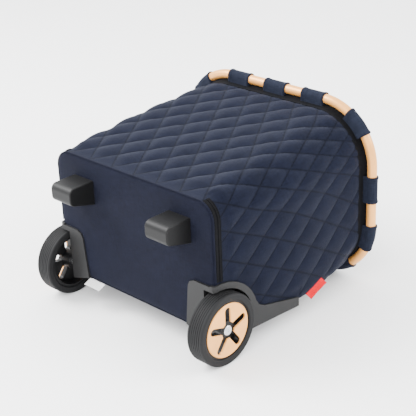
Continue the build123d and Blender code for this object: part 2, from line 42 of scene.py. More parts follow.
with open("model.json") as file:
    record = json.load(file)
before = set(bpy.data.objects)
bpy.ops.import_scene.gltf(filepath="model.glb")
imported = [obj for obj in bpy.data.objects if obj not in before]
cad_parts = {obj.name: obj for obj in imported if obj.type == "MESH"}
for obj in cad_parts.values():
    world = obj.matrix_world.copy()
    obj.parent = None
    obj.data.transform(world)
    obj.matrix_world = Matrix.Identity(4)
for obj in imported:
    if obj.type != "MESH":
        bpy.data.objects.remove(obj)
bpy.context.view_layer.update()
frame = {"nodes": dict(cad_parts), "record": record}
NODES = frame["nodes"]
ROOT = "trolley"

# places that everything else hangs on, from the frame
COVER_LOW, COVER_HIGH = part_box("base_cover")
BAG_LOW, BAG_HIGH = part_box("bag_shell")
RING_LOW, RING_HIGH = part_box("mouth_frame")
TYRE_LOW, TYRE_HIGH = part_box("tyre_left")
BASE_X = COVER_LOW.x
MOUTH_X = BAG_HIGH.x
BAG_LENGTH = MOUTH_X - BASE_X
TUBE_R = (RING_HIGH.x - RING_LOW.x) / 2
RING_X = (RING_HIGH.x + RING_LOW.x) / 2
RING_HALF_W = RING_HIGH.y - TUBE_R
RING_REAR_Z = RING_LOW.z + TUBE_R
RING_FRONT_Z = RING_HIGH.z - TUBE_R
RING_CORNER = 0.098
MOUTH_INSET = RING_HALF_W - BAG_HIGH.y
SWELL_X = 0.170
SWELL_REAR_Z = 0.030
BASE_ROUND = 0.028
SWELL_ROUND = 0.020
WELL_RADIUS = 0.0654
WELL_CUT_Y = 0.1997
WELL_CUT_DEPTH = 0.10
WHEEL_X = (TYRE_LOW.x + TYRE_HIGH.x) / 2
WHEEL_Z = (TYRE_LOW.z + TYRE_HIGH.z) / 2


# ------------------------------------------------------------------ settings
class TrolleyShape(bpy.types.PropertyGroup):
    """Sizes of the soft pieces"""

    puff: bpy.props.FloatProperty(
        name="Puff", description="Height of a quilted diamond", default=0.0048, unit="LENGTH"
    )
    cell: bpy.props.FloatProperty(
        name="Cell", description="Stitch line spacing round the bag", default=0.0495, unit="LENGTH"
    )
    wall: bpy.props.FloatProperty(
        name="Wall", description="Thickness of the quilted wall", default=0.004, unit="LENGTH"
    )
    columns: bpy.props.IntProperty(name="Columns", description="Grid columns round the bag", default=384)
    rows: bpy.props.IntProperty(name="Rows", description="Grid rows along the bag", default=112)


class TrolleyColours(bpy.types.PropertyGroup):
    """Main colours"""

    quilt: bpy.props.FloatVectorProperty(
        name="Quilt", description="Quilted cloth", subtype="COLOR", size=3, default=(0.0030, 0.0040, 0.0105)
    )
    plain: bpy.props.FloatVectorProperty(
        name="Plain cloth",
        description="Base cloth",
        subtype="COLOR", size=3, default=(0.0032, 0.0038, 0.0095)
    )
    gold: bpy.props.FloatVectorProperty(
        name="Gold", description="Tube and discs", subtype="COLOR", size=3, default=(0.72, 0.33, 0.085)
    )
    moulding: bpy.props.FloatVectorProperty(
        name="Moulding", description="Wheel housings", subtype="COLOR", size=3, default=(0.010, 0.010, 0.0103)
    )
    tag: bpy.props.FloatVectorProperty(
        name="Tag", description="Side tag", subtype="COLOR", size=3, default=(0.52, 0.0, 0.010)
    )


# ------------------------------------------------------------------ node helpers
def shape():
    return bpy.context.scene.trolley_shape


def colours():
    return bpy.context.scene.trolley_colours


def new_material(name):
    """Empty node material with its shader and output."""
    mat = bpy.data.materials.new(name)
    mat.use_nodes = True
    tree = mat.node_tree
    shader = tree.nodes["Principled BSDF"]
    return mat, tree, shader


def node(tree, kind, x, y, **values):
    """Adds one node and sets its properties."""
    made = tree.nodes.new(kind)
    made.location = (x, y)
    for key, value in values.items():
        setattr(made, key, value)
    return made


def mix_colour(tree, factor, low, high, x, y, blend="MIX"):
    """Mix of two colours, each a socket or a colour; returns the result socket."""
    made = node(tree, "ShaderNodeMix", x, y, data_type="RGBA", blend_type=blend)
    for socket, value in ((made.inputs[0], factor), (made.inputs[6], low), (made.inputs[7], high)):
        if isinstance(value, bpy.types.NodeSocket):
            tree.links.new(value, socket)
        elif isinstance(value, (int, float)):
            socket.default_value = value
        else:
            socket.default_value = (*value, 1.0)
    return made.outputs[2]


def maths(tree, operation, a, b, x, y, clamp=False):
    """One maths node; returns its output socket."""
    made = node(tree, "ShaderNodeMath", x, y, operation=operation, use_clamp=clamp)
    for socket, value in zip(made.inputs, (a, b)):
        if isinstance(value, bpy.types.NodeSocket):
            tree.links.new(value, socket)
        elif value is not None:
            socket.default_value = value
    return made.outputs[0]


def ramp(tree, source, stops, x, y):
    """Colour ramp over a value; returns its colour socket."""
    made = node(tree, "ShaderNodeValToRGB", x, y)
    points = made.color_ramp.elements
    points[0].position, points[0].color = stops[0][0], (*([stops[0][1]] * 3), 1)
    points[1].position, points[1].color = stops[-1][0], (*([stops[-1][1]] * 3), 1)
    for place, value in stops[1:-1]:
        points.new(place).color = (value, value, value, 1)
    tree.links.new(source, made.inputs[0])
    return made.outputs[0]


def scaled(tree, source, scale, x, y):
    """Mapping node that scales a coordinate."""
    made = node(tree, "ShaderNodeMapping", x, y)
    made.inputs["Scale"].default_value = scale
    tree.links.new(source, made.inputs["Vector"])
    return made.outputs[0]


def noise(tree, vector, scale, detail, x, y):
    made = node(tree, "ShaderNodeTexNoise", x, y)
    made.inputs["Scale"].default_value = scale
    made.inputs["Detail"].default_value = detail
    tree.links.new(vector, made.inputs["Vector"])
    return made.outputs["Fac"]


def wave(tree, vector, scale, direction, x, y):
    made = node(tree, "ShaderNodeTexWave", x, y, bands_direction=direction)
    made.inputs["Scale"].default_value = scale
    made.inputs["Distortion"].default_value = 0.35
    made.inputs["Detail Scale"].default_value = 2.0
    tree.links.new(vector, made.inputs["Vector"])
    return made.outputs["Fac"]


def bump(tree, shader, height, strength, distance, x, y):
    made = node(tree, "ShaderNodeBump", x, y)
    made.inputs["Strength"].default_value = strength
    made.inputs["Distance"].default_value = distance
    tree.links.new(height, made.inputs["Height"])
    tree.links.new(made.outputs[0], shader.inputs["Normal"])


def cloth_material(name, colour, pitch=0.0011, uv="cloth", contrast=0.35, sheen=0.25, quilt=False):
    """Woven cloth: crossed threads, slubs along the weft, soft blotches and optional sewn lines darkened with
    painted shade in their creases.
    """
    mat, tree, shader = new_material(name)
    place = node(tree, "ShaderNodeUVMap", -1500, 0, uv_map=uv).outputs[0]
    warp = wave(tree, place, 0.32 / pitch, "X", -1100, 300)
    weft = wave(tree, place, 0.32 / pitch, "Y", -1100, 0)
    threads = maths(tree, "MULTIPLY", warp, weft, -880, 150)
    slub = noise(tree, scaled(tree, place, (900, 60, 1), -1300, -300), 1.0, 3, -1100, -300)
    slub2 = noise(tree, scaled(tree, place, (70, 800, 1), -1300, -500), 1.0, 2, -1100, -500)
    blotch = noise(tree, place, 22.0, 4, -1100, -700)
    lift = maths(tree, "ADD", slub, slub2, -880, -350)
    lift = maths(tree, "MULTIPLY", lift, 0.5, -700, -350)
    dark = tuple(c * (1 - contrast) for c in colour)
    light = tuple(min(1.0, c * (1 + 1.25 * contrast) + 0.002) for c in colour)
    tone = ramp(tree, lift, [(0.36, 0.0), (0.64, 1.0)], -520, -350)
    body = mix_colour(tree, tone, dark, light, -200, 100)
    shade = ramp(tree, threads, [(0.0, 0.78), (0.6, 1.06)], -520, 150)
    body = mix_colour(tree, 1.0, body, shade, 0, 100, "MULTIPLY")
    patch = ramp(tree, blotch, [(0.3, 0.88), (0.7, 1.08)], -520, -600)
    body = mix_colour(tree, 1.0, body, patch, 180, 100, "MULTIPLY")
    height = maths(tree, "ADD", threads, maths(tree, "MULTIPLY", lift, 1.3, -500, 300), -300, 320)
    if quilt:
        lines = node(tree, "ShaderNodeUVMap", -1500, -1000, uv_map="quilt").outputs[0]
        split = node(tree, "ShaderNodeSeparateXYZ", -1300, -1000)
        tree.links.new(lines, split.inputs[0])
        near = []
        for k in (0, 1):
            part = maths(tree, "ADD", split.outputs[k], 0.5, -1100, -950)
            part = maths(tree, "FRACT", part, None, -950, -950)
            part = maths(tree, "ABSOLUTE", maths(tree, "SUBTRACT", part, 0.5, -800, -950), None, -650, -950)
            near.append(part)
        sewn = maths(tree, "MINIMUM", near[0], near[1], -500, -1000)
        # darker along each stitch line: the sewn line itself plus painted shade in the crease between the
        # puffs
        stitch_crease_shade = ramp(tree, sewn, [(0.0, 0.42), (0.018, 0.6), (0.06, 1.0)], -300, -1000)
        body = mix_colour(tree, 1.0, body, stitch_crease_shade, 340, 0, "MULTIPLY")
        dip = ramp(tree, sewn, [(0.0, 0.0), (0.035, 1.0)], -300, -1200)
        height = maths(tree, "ADD", height, maths(tree, "MULTIPLY", dip, 2.2, 0, -1100), 200, 300)
    tree.links.new(body, shader.inputs["Base Color"])
    rough = ramp(tree, lift, [(0.3, 0.72), (0.7, 0.86)], -200, -300)
    tree.links.new(rough, shader.inputs["Roughness"])
    shader.inputs["Sheen Weight"].default_value = sheen
    shader.inputs["Sheen Roughness"].default_value = 0.45
    shader.inputs["Sheen Tint"].default_value = (0.72, 0.78, 1.0, 1.0)
    shader.inputs["Specular IOR Level"].default_value = 0.04
    bump(tree, shader, height, 0.45, 0.0004, 300, -200)
    return mat


def satin_metal(name, colour, rough=0.33, metallic=1.0):
    """Satin anodised or lacquered metal with a fine grain."""
    mat, tree, shader = new_material(name)
    place = node(tree, "ShaderNodeTexCoord", -1200, 0).outputs["Object"]
    grain = noise(tree, place, 2600.0, 3, -900, 0)
    cloud = noise(tree, place, 35.0, 3, -900, -250)
    low = tuple(c * 0.93 for c in colour)
    high = tuple(min(1.0, c * 1.05) for c in colour)
    body = mix_colour(tree, ramp(tree, cloud, [(0.35, 0.0), (0.65, 1.0)], -600, 200), low, high, -300, 200)
    tree.links.new(body, shader.inputs["Base Color"])
    shader.inputs["Metallic"].default_value = metallic
    worn = ramp(tree, grain, [(0.2, rough - 0.05), (0.8, rough + 0.07)], -600, -50)
    tree.links.new(worn, shader.inputs["Roughness"])
    bump(tree, shader, grain, 0.12, 0.0001, -200, -300)
    return mat


def moulded_plastic(name, colour, rough=0.5, grain_size=1500.0, depth=0.25, specular=0.5):
    """Moulded plastic with a fine spark-eroded grain and worn tone changes."""
    mat, tree, shader = new_material(name)
    place = node(tree, "ShaderNodeTexCoord", -1200, 0).outputs["Object"]
    grain = noise(tree, place, grain_size, 4, -900, 0)
    cloud = noise(tree, place, 28.0, 4, -900, -250)
    low = tuple(c * 0.86 for c in colour)
    high = tuple(min(1.0, c * 1.14) for c in colour)
    half_grain = maths(tree, "MULTIPLY", grain, 0.5, -700, 50)
    half_cloud = maths(tree, "MULTIPLY", cloud, 0.5, -700, -200)
    both = maths(tree, "ADD", half_grain, half_cloud, -550, 0)
    body = mix_colour(tree, ramp(tree, both, [(0.35, 0.0), (0.65, 1.0)], -400, 200), low, high, -100, 200)
    tree.links.new(body, shader.inputs["Base Color"])
    worn = ramp(tree, grain, [(0.2, rough - 0.07), (0.8, rough + 0.07)], -400, -50)
    tree.links.new(worn, shader.inputs["Roughness"])
    shader.inputs["Specular IOR Level"].default_value = specular
    bump(tree, shader, grain, depth, 0.00012, -100, -300)
    return mat


MATERIALS = {}


def make_materials():
    """All the finishes, by slot name."""
    c = colours()
    m = MATERIALS
    m["quilt"] = cloth_material("quilted_cloth", c.quilt, contrast=0.28, sheen=0.05, quilt=True)
    m["base_fabric"] = cloth_material("plain_cloth", c.plain, contrast=0.34, sheen=0.03)
    m["loop_fabric"] = cloth_material("loop_cloth", (0.0085, 0.0105, 0.0190), contrast=0.3, sheen=0.03)
    # near-black of the tapes; on the zip band it also stands in for painted shade beside the base
    tape_and_shade_black = (0.0025, 0.0025, 0.0030)
    m["binding"] = cloth_material("black_tape_and_painted_shade", tape_and_shade_black, pitch=0.0016, contrast=0.3, sheen=0.02)
    m["lining_fabric"] = cloth_material("black_lining", (0.0035, 0.0035, 0.0045), contrast=0.3, sheen=0.02)
    m["tag_fabric"] = cloth_material("red_tape", c.tag, pitch=0.0007, contrast=0.12, sheen=0.0)
    satin = (0.62, 0.62, 0.62)
    m["label_fabric"] = cloth_material("pale_satin", satin, pitch=0.0007, contrast=0.06, sheen=0.1)
    m["gold_tube"] = satin_metal("champagne_tube", c.gold, 0.36, 0.35)
    m["gold_disc"] = satin_metal("champagne_disc", tuple(min(1, v * 1.08) for v in c.gold), 0.42, 0.3)
    m["axle_steel"] = satin_metal("turned_steel", (0.62, 0.62, 0.63), 0.25)
    m["screw_steel"] = satin_metal("zinc_screw", (0.5, 0.5, 0.52), 0.35)
    m["tube_steel"] = satin_metal("plug_steel", (0.45, 0.45, 0.46), 0.4)
    m["tube_aluminium"] = satin_metal("anodised_tube", (0.7, 0.7, 0.71), 0.3)
    m["housing_plastic"] = moulded_plastic("housing_moulding", c.moulding, 0.52, 1500.0, 0.3, 0.2)
    m["foot_plastic"] = moulded_plastic("foot_moulding", (0.003, 0.003, 0.0033), 0.5, 1200.0, 0.3, 0.18)
    m["core_plastic"] = moulded_plastic("wheel_moulding", (0.004, 0.004, 0.0044), 0.45, 1500.0, 0.2, 0.2)
    m["handle_plastic"] = moulded_plastic("handle_moulding", (0.020, 0.020, 0.022), 0.45)
    m["bush_plastic"] = moulded_plastic("bush_moulding", (0.06, 0.06, 0.06), 0.4)
    m["button_plastic"] = moulded_plastic("button_moulding", (0.12, 0.12, 0.13), 0.25, 1800.0, 0.1)
    m["board"] = moulded_plastic("base_board_plastic", (0.015, 0.015, 0.017), 0.6, 700.0, 0.4)
    m["grip_rubber"] = moulded_plastic("grip_rubber", (0.017, 0.017, 0.018), 0.62, 2000.0, 0.4, 0.35)
    m["tyre"] = moulded_plastic("tyre_rubber", (0.009, 0.009, 0.0095), 0.65, 900.0, 0.3, 0.12)


# ------------------------------------------------------------------ mesh helpers
def clear_selection():
    if bpy.context.mode != "OBJECT":
        bpy.ops.object.mode_set(mode="OBJECT")
    bpy.ops.object.select_all(action="DESELECT")


def mesh_object(name, verts, faces, uvs=None):
    """Mesh object from points, faces and optional per-vertex UV maps."""
    mesh = bpy.data.meshes.new(name)
    mesh.from_pydata([tuple(v) for v in verts], [], faces)
    for layer_name, values in (uvs or {}).items():
        layer = mesh.uv_layers.new(name=layer_name)
        flat = []
        for loop in mesh.loops:
            flat.extend(values[loop.vertex_index])
        layer.data.foreach_set("uv", flat)
    mesh.validate()
    made = bpy.data.objects.new(name, mesh)
    bpy.context.scene.collection.objects.link(made)
    return made


def finish_piece(piece, slot, replaced=(), body=ROOT, smooth=40.0):
    """Material, shading, body and the nodes that the piece stands for."""
    piece.data.materials.clear()
    piece.data.materials.append(MATERIALS[slot])
    clear_selection()
    piece.select_set(True)
    bpy.context.view_layer.objects.active = piece
    bpy.ops.object.shade_smooth_by_angle(angle=math.radians(smooth))
    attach(piece, body)
    if replaced:
        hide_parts(*replaced)
    return piece


def apply_modifier(piece, kind, name, **values):
    clear_selection()
    bpy.context.view_layer.objects.active = piece
    piece.select_set(True)
    mod = piece.modifiers.new(name, kind)
    for key, value in values.items():
        setattr(mod, key, value)
    bpy.ops.object.modifier_apply(modifier=name)


def turn_faces_outwards(piece):
    clear_selection()
    piece.select_set(True)
    bpy.context.view_layer.objects.active = piece
    bpy.ops.object.mode_set(mode="EDIT")
    bpy.ops.mesh.select_all(action="SELECT")
    bpy.ops.mesh.normals_make_consistent(inside=False)
    bpy.ops.object.mode_set(mode="OBJECT")


def cut_wheel_wells(piece):
    """Cuts the round space for each wheel out of a piece."""
    for side in (1, -1):
        clear_selection()
        bpy.ops.mesh.primitive_cylinder_add(
            vertices=96,
            radius=WELL_RADIUS,
            depth=WELL_CUT_DEPTH,
            location=(WHEEL_X, side * WELL_CUT_Y, WHEEL_Z),
            rotation=(math.pi / 2, 0, 0),
        )
        cutter = bpy.context.object
        apply_modifier(piece, "BOOLEAN", "well", operation="DIFFERENCE", object=cutter, solver="EXACT")
        bpy.data.objects.remove(cutter)


def soft_step(t):
    t = max(0.0, min(1.0, t))
    return t * t * (3 - 2 * t)


# ------------------------------------------------------------------ bag outline
def through_stations(x, base, swell, mouth):
    """Smooth value along the bag that passes its base, its swell and its mouth."""
    bend = ((mouth - base) / BAG_LENGTH - (swell - base) / SWELL_X) / (BAG_LENGTH - SWELL_X)
    return base + (swell - base) / SWELL_X * x + bend * x * (x - SWELL_X)


def bag_section(x):
    """Half width, rear, front, rear corner and front corner of the bag at x from the base."""
    u = x / SWELL_X
    if u > 1.25:
        swell = 1.0
    elif u > 0.75:
        swell = 0.75 + (u - 0.75) - (u - 0.75) ** 2
    else:
        swell = u
    base_half, mouth_half = COVER_HIGH.y, BAG_HIGH.y
    half = base_half + (mouth_half - base_half) * swell
    rear = through_stations(x, COVER_LOW.z, SWELL_REAR_Z, RING_REAR_Z + MOUTH_INSET)
    front = COVER_HIGH.z + (BAG_HIGH.z - COVER_HIGH.z) * x / BAG_LENGTH
    mouth_round = RING_CORNER - MOUTH_INSET
    rear_corner = through_stations(x, BASE_ROUND, SWELL_ROUND, mouth_round)
    front_corner = BASE_ROUND + (mouth_round - BASE_ROUND) * x / BAG_LENGTH
    return half, rear, front, rear_corner, front_corner


def outline_points(x, count, grow=0.0):
    """Points round the bag at x with their outward normals and distance from the front middle."""
    half, rear, front, rc, fc = bag_section(x)
    half, rear, front, rc, fc = half + grow, rear - grow, front + grow, rc + grow, fc + grow
    runs = [
        ("line", (0, front), (-1, 0), half - fc),
        ("arc", (-(half - fc), front - fc), math.pi / 2, fc),
        ("line", (-half, front - fc), (0, -1), front - rear - fc - rc),
        ("arc", (-(half - rc), rear + rc), math.pi, rc),
        ("line", (-(half - rc), rear), (1, 0), 2 * (half - rc)),
        ("arc", (half - rc, rear + rc), 1.5 * math.pi, rc),
        ("line", (half, rear + rc), (0, 1), front - rear - fc - rc),
        ("arc", (half - fc, front - fc), 0.0, fc),
        ("line", (half - fc, front), (-1, 0), half - fc),
    ]
    lengths = [r[3] if r[0] == "line" else r[3] * math.pi / 2 for r in runs]
    total = sum(lengths)
    result = []
    for k in range(count):
        s = total * k / count
        run, at = 0, s
        while at > lengths[run] and run < len(runs) - 1:
            at -= lengths[run]
            run += 1
        kind, start, heading, size = runs[run]
        if kind == "line":
            y, z = start[0] + heading[0] * at, start[1] + heading[1] * at
            normal = (heading[1], -heading[0])
        else:
            angle = heading + at / size
            normal = (math.cos(angle), math.sin(angle))
            y, z = start[0] + size * normal[0], start[1] + size * normal[1]
        result.append((y, z, normal, s if s < total / 2 else s - total))
    return result


def quilt_phase(x, s):
    """Numbers of the two families of stitch lines at a place on the bag."""
    side = soft_step((s - 0.12) / 0.13) if s > 0 else 0.0
    far = soft_step((-s - 0.12) / 0.13) if s < 0 else 0.0
    g1 = (1 / 0.057) * (1 - side) + (1 / 0.079) * side
    g2 = (1 / 0.079) * (1 - side) + (1 / 0.060) * side
    g2 += far * (1 / 0.066 - 1 / 0.079)
    cell = shape().cell
    return x * g1 - s / cell - 0.10 * side, x * g2 + s / cell - 0.17 + 0.39 * side


def quilt_height(x, y, z, p1, p2):
    """Height of the padded surface over the flat bag."""
    a = abs(math.sin(math.pi * p1))
    b = abs(math.sin(math.pi * p2))
    height = (a * b) ** 0.55
    fade = soft_step((x - 0.008) / 0.03) * soft_step((BAG_LENGTH - 0.002 - x) / 0.02)
    if abs(y) > 0.145:
        fade *= soft_step((x - 0.019) / 0.02)
    if y < -0.15:
        fade *= 0.35 + 0.65 * soft_step((math.hypot(x - 0.210, z - 0.045) - 0.02) / 0.02)
    gap = math.hypot(x - (WHEEL_X - BASE_X), z - WHEEL_Z) - 0.074
    if abs(y) > 0.12:
        fade *= soft_step(gap / 0.02)
        if x < 0.175:
            fade *= soft_step((z - 0.066 + 0.1 * x) / 0.02)
    if abs(y) > 0.14 or z > 0.2:
        strength = 1.0 if z > 0.23 else 0.8
    else:
        strength = 0.7
    return shape().puff * strength * height * fade


# ------------------------------------------------------------------ operators
class TROLLEY_OT_stage(bpy.types.Operator):
    """Floor, lights, world and camera"""

    bl_idname = "trolley.stage"
    bl_label = "Stage"

    def execute(self, context):
        clear_selection()
        bpy.ops.mesh.primitive_plane_add(size=14.0, location=(0, 0, 0))
        floor = context.object
        floor.name = "studio_floor"
        mat, tree, shader = new_material("studio_paper")
        place = node(tree, "ShaderNodeTexCoord", -900, 0).outputs["Object"]
        cloud = noise(tree, place, 1.5, 2, -700, 0)
        tint = mix_colour(tree, cloud, (0.90, 0.90, 0.90), (0.93, 0.93, 0.93), -400, 0)
        tree.links.new(tint, shader.inputs["Base Color"])
        shader.inputs["Roughness"].default_value = 0.75
        floor.data.materials.append(mat)
        world = bpy.data.worlds.new("studio_air")
        world.use_nodes = True
        world.node_tree.nodes["Background"].inputs[0].default_value = (0.98, 0.99, 1.0, 1)
        world.node_tree.nodes["Background"].inputs[1].default_value = 3.3
        context.scene.world = world
        for name, place, size, power in (
            ("key_panel", (-0.9, 1.5, 1.9), 1.4, 150.0),
            ("side_panel", (-1.9, -0.9, 1.5), 1.6, 55.0),
            ("front_panel", (1.2, -1.9, 1.6), 1.6, 75.0),
        ):
            data = bpy.data.lights.new(name, "AREA")
            data.size = size
            data.energy = power
            lamp = bpy.data.objects.new(name, data)
            lamp.location = place
            aim = Vector((0, 0, 0.12)) - Vector(place)
            lamp.rotation_euler = aim.to_track_quat("-Z", "Y").to_euler()
            context.scene.collection.objects.link(lamp)
        lens = bpy.data.cameras.new("studio_camera")
        lens.sensor_width = 36.0
        lens.lens = 96.76
        lens.clip_start = 0.05
        lens.clip_end = 50.0
        camera = bpy.data.objects.new("studio_camera", lens)
        right = Vector((0.6939, -0.7191, -0.0382)).normalized()
        ahead = Vector((0.6427, 0.6423, -0.4177)).normalized()
        up = right.cross(ahead)
        right = ahead.cross(up)
        turn = Matrix((right, up, -ahead)).transposed().to_4x4()
        camera.matrix_world = Matrix.Translation((-1.1968, -1.1734, 0.9078)) @ turn
        context.scene.collection.objects.link(camera)
        context.scene.camera = camera
        return {"FINISHED"}


class TROLLEY_OT_bag(bpy.types.Operator):
    """Quilted bag wall with sewn diamonds"""

    bl_idname = "trolley.bag"
    bl_label = "Quilted bag"

    def execute(self, context):
        p = shape()
        start = BAG_LOW.x - BASE_X
        verts, cloth, quilt = [], [], []
        outer = [start + (BAG_LENGTH - start) * j / (p.rows - 1) for j in range(p.rows)]
        for x in outer:
            for y, z, normal, s in outline_points(x, p.columns):
                p1, p2 = quilt_phase(x, s)
                h = quilt_height(x, y, z, p1, p2)
                verts.append((BASE_X + x, y + normal[0] * h, z + normal[1] * h))
                cloth.append((x, s))
                quilt.append((p1, p2))
        inner = [outer[-1] - (outer[-1] - start) * j / 11 for j in range(12)]
        for x in inner:
            for y, z, normal, s in outline_points(x, p.columns, -p.wall):
                verts.append((BASE_X + x, y, z))
                cloth.append((x + 0.5, s))
                quilt.append((0.5, 0.5))
        count, rings, faces = p.columns, p.rows + 12, []
        for j in range(rings):
            a, b = j * count, ((j + 1) % rings) * count
            for k in range(count):
                n = (k + 1) % count
                faces.append((a + k, a + n, b + n, b + k))
        bag = mesh_object("quilted_bag", verts, faces, {"cloth": cloth, "quilt": quilt})
        cut_wheel_wells(bag)
        finish_piece(bag, "quilt", ("bag_shell",), smooth=60.0)
        return {"FINISHED"}


class TROLLEY_OT_mouth_tape(bpy.types.Operator):
    """Black collar from the mouth edge of the bag up to the tube"""

    bl_idname = "trolley.mouth_tape"
    bl_label = "Mouth tape"

    def execute(self, context):
        count = 240
        stations = [(-0.009, 0.0007), (-0.001, 0.0004), (0.0050, 0.0022), (0.0100, 0.0046)]
        stations += [(0.0104, 0.0034)]
        stations += [(0.0078, -0.0010), (-0.001, -0.0046), (-0.009, -0.0048)]
        verts, cloth = [], []
        for dx, grow in stations:
            base = outline_points(BAG_LENGTH, count, 0.0)
            for y, z, normal, s in base:
                verts.append((MOUTH_X + dx, y + normal[0] * grow, z + normal[1] * grow))
                cloth.append((dx - grow, s))
        rings, faces = len(stations), []
        for j in range(rings):
            a, b = j * count, ((j + 1) % rings) * count
            for k in range(count):
                n = (k + 1) % count
                faces.append((a + k, a + n, b + n, b + k))
        tape_and_shade_black = mesh_object("mouth_tape", verts, faces, {"cloth": cloth})
        finish_piece(tape_and_shade_black, "binding")
        return {"FINISHED"}


class TROLLEY_OT_base(bpy.types.Operator):
    """Plain cloth base with a soft rounded rim and its sewn edge"""

    bl_idname = "trolley.base"
    bl_label = "Base cloth"

    def execute(self, context):
        count = 320
        # rings from the middle of the face over the soft rim to the back
        rings = (0.05, 0.2, 0.4, 0.6, 0.75, 0.86, 0.94)
        verts, cloth = [], []
        outer = outline_points(0.0, count)
        mid_z = (COVER_LOW.z + COVER_HIGH.z) / 2
        for t in rings:
            for y, z, normal, s in outer:
                yy, zz = y * t, mid_z + (z - mid_z) * t
                swell = 0.0016 * (1 - t ** 4)
                verts.append((BASE_X - swell, yy, zz))
                cloth.append((yy, zz))
        rim = [(0.0, -0.0050), (0.0003, -0.0026), (0.0012, -0.0008)]
        rim += [(0.0026, 0.0), (0.0034, 0.0), (0.0034, -0.006)]
        for dx, grow in rim:
            for y, z, normal, s in outer:
                yy, zz = y + normal[0] * grow, z + normal[1] * grow
                verts.append((BASE_X + dx, yy, zz))
                cloth.append((yy, zz + dx))
        total = len(rings) + len(rim)
        faces = []
        for j in range(total - 1):
            a, b = j * count, (j + 1) * count
            for k in range(count):
                n = (k + 1) % count
                faces.append((a + k, a + n, b + n, b + k))
        faces.append(tuple(reversed(range(count))))
        faces.append(tuple(range((total - 1) * count, total * count)))
        panel = mesh_object("base_cloth", verts, faces, {"cloth": cloth})
        cut_wheel_wells(panel)
        finish_piece(panel, "base_fabric", ("base_cover",))
        return {"FINISHED"}


class TROLLEY_OT_edge(bpy.types.Operator):
    """Corded seam round the base and the black zip tapes down its sides, made wide enough to double as
    painted shade on the side wall next to the base
    """

    bl_idname = "trolley.edge"
    bl_label = "Base edge"

    def execute(self, context):
        count = 360
        profile = [(0.0006, 0.0002), (0.0007, 0.0009), (0.0016, 0.0014)]
        profile += [(0.0030, 0.0014), (0.0040, 0.0008), (0.0042, 0.0002)]
        # black zip band: real tapes, widened so their near-black also paints the shade on the side wall next
        # to the base edge
        zip_and_shade_profile = [(0.0044, 0.0002), (0.0046, 0.0012), (0.0092, 0.0012), (0.0096, 0.0006)]
        zip_and_shade_profile += [(0.0102, 0.0006), (0.0106, 0.0019), (0.0134, 0.0019), (0.0138, 0.0006)]
        zip_and_shade_profile += [(0.0144, 0.0006), (0.0146, 0.0012), (0.0156, 0.0012), (0.0158, 0.0002)]
        for name, stations, slot, replaced, low_y in (
            ("base_piping", profile, "base_fabric", (), 0.0),
            ("zip_tapes_and_painted_shade", zip_and_shade_profile, "binding", ("edge_binding",), 0.150),
        ):
            verts, cloth, keep = [], [], []
            for dx, grow in stations:
                for k, (y, z, normal, s) in enumerate(outline_points(dx, count)):
                    verts.append((BASE_X + dx, y + normal[0] * grow, z + normal[1] * grow))
                    cloth.append((dx - grow, s))
            mid = outline_points(0.007, count)
            for k in range(count):
                y, z = mid[k][0], mid[k][1]
                hidden = abs(y) > 0.113 and z < 0.1315
                keep.append(not hidden and abs(y) >= low_y)
            rings, faces = len(stations), []
            for k in range(count):
                n = (k + 1) % count
                if not (keep[k] and keep[n]):
                    continue
                for j in range(rings):
                    a, b = j * count, ((j + 1) % rings) * count
                    faces.append((a + k, a + n, b + n, b + k))
            for k in range(count):
                if keep[k] and not keep[k - 1]:
                    faces.append(tuple(j * count + k for j in range(rings)))
                if keep[k] and not keep[(k + 1) % count]:
                    faces.append(tuple(reversed([j * count + k for j in range(rings)])))
            band = mesh_object(name, verts, faces, {"cloth": cloth})
            clear_selection()
            band.select_set(True)
            context.view_layer.objects.active = band
            bpy.ops.object.mode_set(mode="EDIT")
            bpy.ops.mesh.select_all(action="SELECT")
            bpy.ops.mesh.delete_loose(use_verts=True, use_edges=True, use_faces=False)
            bpy.ops.object.mode_set(mode="OBJECT")
            finish_piece(band, slot, replaced)
        return {"FINISHED"}


def loop_frames():
    """Centre, outward direction and bend of every loop on the mouth frame."""
    cy = RING_HALF_W - RING_CORNER
    top, low = RING_FRONT_Z - RING_CORNER, RING_REAR_Z + RING_CORNER
    straight = [
        (Vector((RING_X, y, RING_FRONT_Z)), Vector((0, 0, 1)), None) for y in (0.0, 0.081, -0.081)
    ]
    straight.append((Vector((RING_X, RING_HALF_W, 0.173)), Vector((0, 1, 0)), None))
    straight.append((Vector((RING_X, -RING_HALF_W, 0.173)), Vector((0, -1, 0)), None))
    straight.append((Vector((RING_X, 0.0, RING_REAR_Z)), Vector((0, 0, -1)), None))
    bent = []
    for y, z, degrees in (
        (cy, top, 46.0),
        (-cy, top, 134.0),
        (cy, low, -12.5),
        (-cy, low, 192.5),
        (cy, low, -64.5),
        (-cy, low, 244.5),
    ):
        angle = math.radians(degrees)
        out = Vector((0, math.cos(angle), math.sin(angle)))
        centre = Vector((RING_X, y, z))
        bent.append((centre + out * RING_CORNER, out, centre))
    return straight + bent


